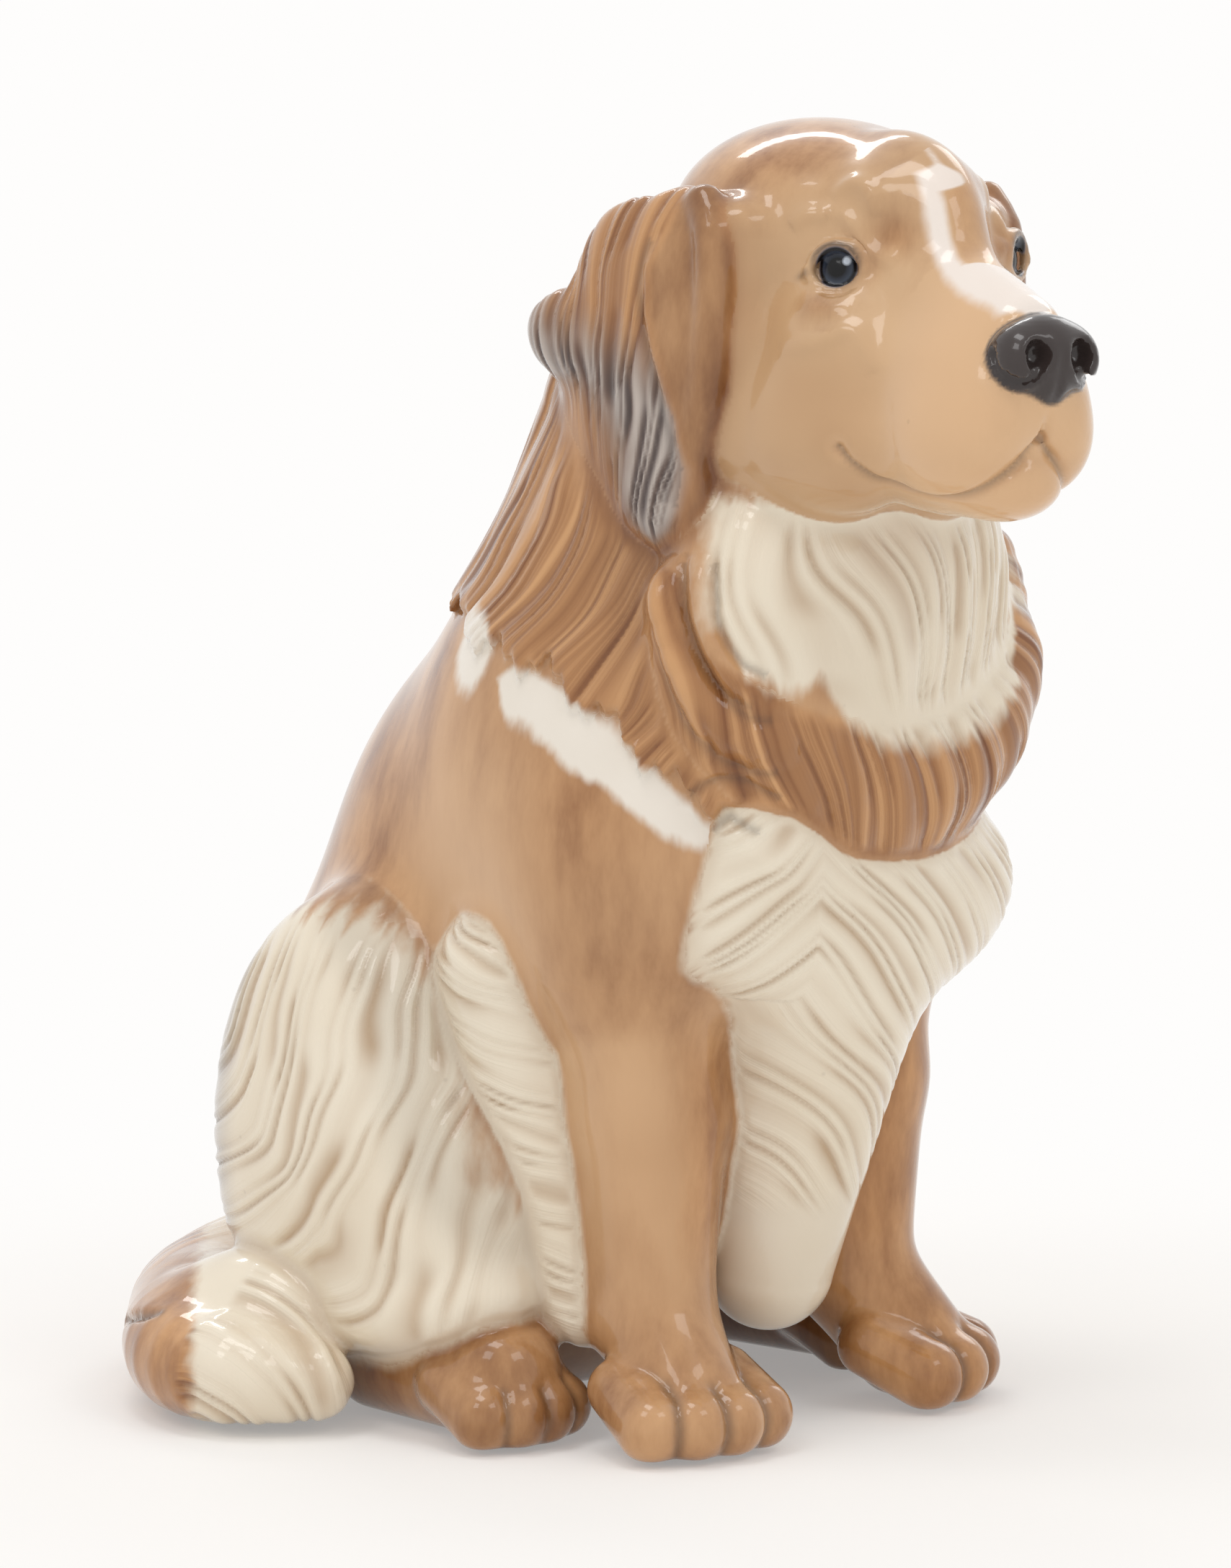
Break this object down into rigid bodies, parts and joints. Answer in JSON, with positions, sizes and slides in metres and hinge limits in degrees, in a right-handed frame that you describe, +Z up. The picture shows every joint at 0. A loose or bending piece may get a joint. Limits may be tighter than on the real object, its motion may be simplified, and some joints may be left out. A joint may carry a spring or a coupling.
{
  "type": "dog figurine",
  "caption": "Glazed porcelain figurine of a sitting long-haired dog, head turned to its right, tail curled round the right haunch, hollow body on a flat underside.",
  "frame": {"origin": "middle of the bounding box, on the surface the figurine stands on", "axes": "+Z up; the dog sits facing -Y, with its own left side at +X and its rump at +Y"},
  "size_m": [0.124, 0.1768, 0.2003],
  "materials": {
    "tan_glaze": "underglaze tan brush painting under a clear high-gloss glaze",
    "brown_glaze": "underglaze brown brush painting under a clear high-gloss glaze",
    "cream_glaze": "cream porcelain body with grey pooled in the combed grooves, clear high-gloss glaze"
  },
  "bodies": {
    "root": {"torso": "tan_glaze", "head": "tan_glaze", "right_foreleg": "tan_glaze", "left_foreleg": "tan_glaze", "right_ear": "brown_glaze", "left_ear": "brown_glaze", "neck_ruff": "brown_glaze", "right_hind_foot": "brown_glaze", "left_hind_foot": "brown_glaze", "throat_bib": "cream_glaze", "chest_feather": "cream_glaze", "right_leg_fringe": "cream_glaze", "left_leg_fringe": "cream_glaze", "right_haunch": "cream_glaze", "left_haunch": "cream_glaze", "tail": "cream_glaze"}
  },
  "joints": []
}
